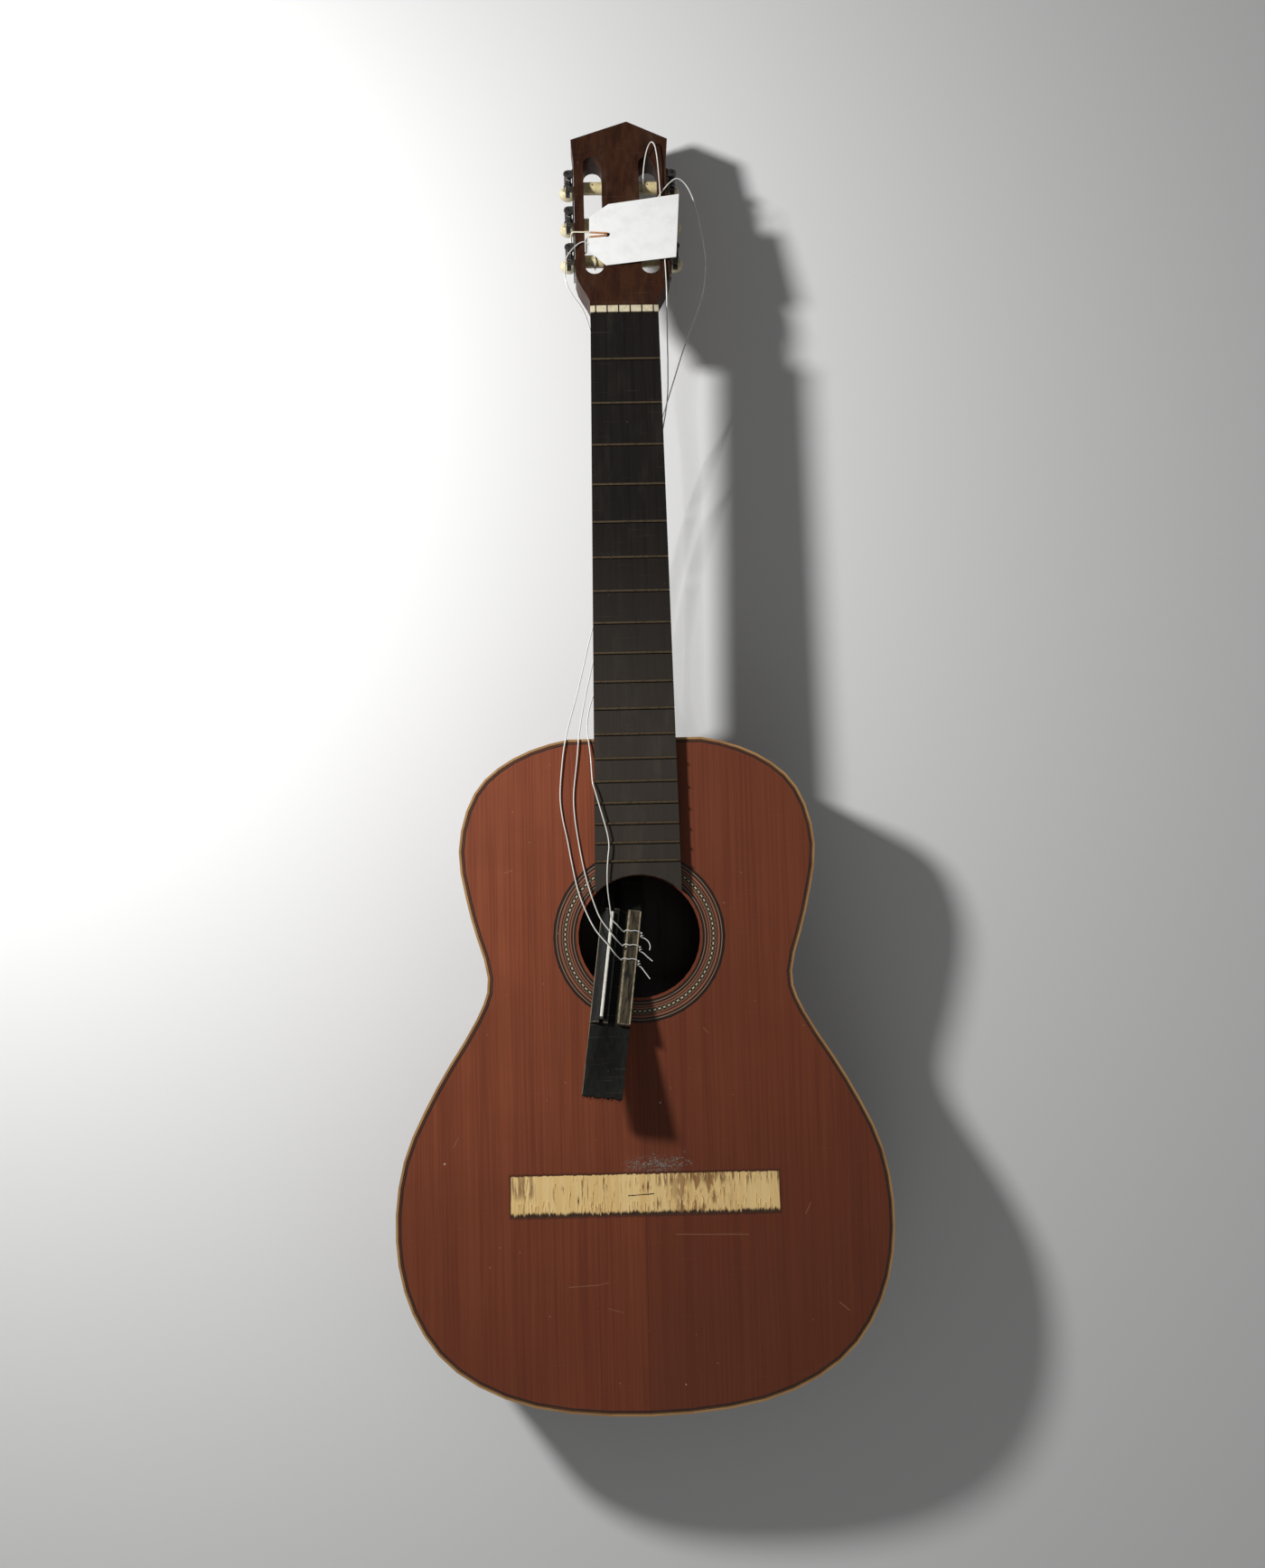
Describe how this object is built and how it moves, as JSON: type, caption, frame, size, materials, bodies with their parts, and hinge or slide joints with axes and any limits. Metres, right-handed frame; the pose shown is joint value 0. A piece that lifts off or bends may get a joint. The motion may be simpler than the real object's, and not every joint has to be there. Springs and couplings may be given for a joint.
{
  "type": "broken guitar",
  "caption": "Broken classical guitar with a torn off bridge hanging by loose strings in the sound hole, worn brown top, slotted head and turning tuners.",
  "frame": {"origin": "outside of the flat back, on the centreline, under the line where the saddle once stood", "axes": "+Z out of the soundboard, +Y along the neck towards the head, +X towards the treble side"},
  "size_m": [0.368, 1.0047, 0.1282],
  "materials": {
    "top_wood": "worn satin varnish over reddish brown spruce",
    "rosette_inlay": "inlaid rings",
    "side_back_wood": "dark satin varnish",
    "binding": "satin",
    "neck_wood": "worn satin",
    "fingerboard_wood": "dry and dusty",
    "fret_metal": "tarnished",
    "bone": "aged ivory colour",
    "bridge_wood": "scratched satin",
    "tuner_metal": "dull and tarnished",
    "roller_plastic": "aged cream",
    "knob_plastic": "aged cream",
    "card": "uncoated card",
    "nylon": "clear to milky nylon",
    "twine": "loose cord"
  },
  "bodies": {
    "guitar": {"soundboard": "top_wood", "rosette": "rosette_inlay", "back": "side_back_wood", "side_bass": "side_back_wood", "side_treble": "side_back_wood", "top_binding": "binding", "neck": "neck_wood", "fingerboard": "fingerboard_wood", "fret_01": "fret_metal", "fret_02": "fret_metal", "fret_03": "fret_metal", "fret_04": "fret_metal", "fret_05": "fret_metal", "fret_06": "fret_metal", "fret_07": "fret_metal", "fret_08": "fret_metal", "fret_09": "fret_metal", "fret_10": "fret_metal", "fret_11": "fret_metal", "fret_12": "fret_metal", "fret_13": "fret_metal", "fret_14": "fret_metal", "fret_15": "fret_metal", "fret_16": "fret_metal", "fret_17": "fret_metal", "fret_18": "fret_metal", "nut": "bone", "bridge": "bridge_wood", "saddle": "bone", "tuner_plate_bass": "tuner_metal", "tuner_plate_treble": "tuner_metal", "tag": "card", "string_a": "nylon", "string_b": "nylon", "string_c": "nylon", "tag_string": "twine"},
    "button_1": {"worm_1": "tuner_metal", "knob_1": "knob_plastic"},
    "barrel_1": {"roller_1": "roller_plastic", "gear_1": "tuner_metal"},
    "button_2": {"worm_2": "tuner_metal", "knob_2": "knob_plastic"},
    "barrel_2": {"roller_2": "roller_plastic", "gear_2": "tuner_metal"},
    "button_3": {"worm_3": "tuner_metal", "knob_3": "knob_plastic"},
    "barrel_3": {"roller_3": "roller_plastic", "gear_3": "tuner_metal"},
    "button_4": {"worm_4": "tuner_metal", "knob_4": "knob_plastic"},
    "barrel_4": {"roller_4": "roller_plastic", "gear_4": "tuner_metal"},
    "button_5": {"worm_5": "tuner_metal", "knob_5": "knob_plastic"},
    "barrel_5": {"roller_5": "roller_plastic", "gear_5": "tuner_metal"},
    "button_6": {"worm_6": "tuner_metal", "knob_6": "knob_plastic"},
    "barrel_6": {"roller_6": "roller_plastic", "gear_6": "tuner_metal"}
  },
  "joints": [
    {"name": "button_turn_1", "type": "hinge", "parent": "guitar", "child": "button_1", "pos_m": [-0.0419, 0.71099, 0.07039], "axis": [0, 0.2487, 0.9686], "continuous": true},
    {"name": "barrel_turn_1", "type": "hinge", "parent": "guitar", "child": "barrel_1", "pos_m": [-0.0419, 0.70282, 0.07249], "axis": [1, 0, 0], "continuous": true},
    {"name": "button_turn_2", "type": "hinge", "parent": "guitar", "child": "button_2", "pos_m": [-0.0419, 0.74489, 0.06169], "axis": [0, 0.2487, 0.9686], "continuous": true},
    {"name": "barrel_turn_2", "type": "hinge", "parent": "guitar", "child": "barrel_2", "pos_m": [-0.0419, 0.73672, 0.06379], "axis": [1, 0, 0], "continuous": true},
    {"name": "button_turn_3", "type": "hinge", "parent": "guitar", "child": "button_3", "pos_m": [-0.0419, 0.77879, 0.05298], "axis": [0, 0.2487, 0.9686], "continuous": true},
    {"name": "barrel_turn_3", "type": "hinge", "parent": "guitar", "child": "barrel_3", "pos_m": [-0.0419, 0.77062, 0.05508], "axis": [1, 0, 0], "continuous": true},
    {"name": "button_turn_4", "type": "hinge", "parent": "guitar", "child": "button_4", "pos_m": [0.0419, 0.71099, 0.07039], "axis": [0, 0.2487, 0.9686], "continuous": true},
    {"name": "barrel_turn_4", "type": "hinge", "parent": "guitar", "child": "barrel_4", "pos_m": [0.0419, 0.70282, 0.07249], "axis": [1, 0, 0], "continuous": true},
    {"name": "button_turn_5", "type": "hinge", "parent": "guitar", "child": "button_5", "pos_m": [0.0419, 0.74489, 0.06169], "axis": [0, 0.2487, 0.9686], "continuous": true},
    {"name": "barrel_turn_5", "type": "hinge", "parent": "guitar", "child": "barrel_5", "pos_m": [0.0419, 0.73672, 0.06379], "axis": [1, 0, 0], "continuous": true},
    {"name": "button_turn_6", "type": "hinge", "parent": "guitar", "child": "button_6", "pos_m": [0.0419, 0.77879, 0.05298], "axis": [0, 0.2487, 0.9686], "continuous": true},
    {"name": "barrel_turn_6", "type": "hinge", "parent": "guitar", "child": "barrel_6", "pos_m": [0.0419, 0.77062, 0.05508], "axis": [1, 0, 0], "continuous": true}
  ],
  "couplings": [
    {"joint": "barrel_turn_1", "follows": "button_turn_1", "ratio": -0.071429},
    {"joint": "barrel_turn_2", "follows": "button_turn_2", "ratio": -0.071429},
    {"joint": "barrel_turn_3", "follows": "button_turn_3", "ratio": -0.071429},
    {"joint": "barrel_turn_4", "follows": "button_turn_4", "ratio": -0.071429},
    {"joint": "barrel_turn_5", "follows": "button_turn_5", "ratio": -0.071429},
    {"joint": "barrel_turn_6", "follows": "button_turn_6", "ratio": -0.071429}
  ]
}
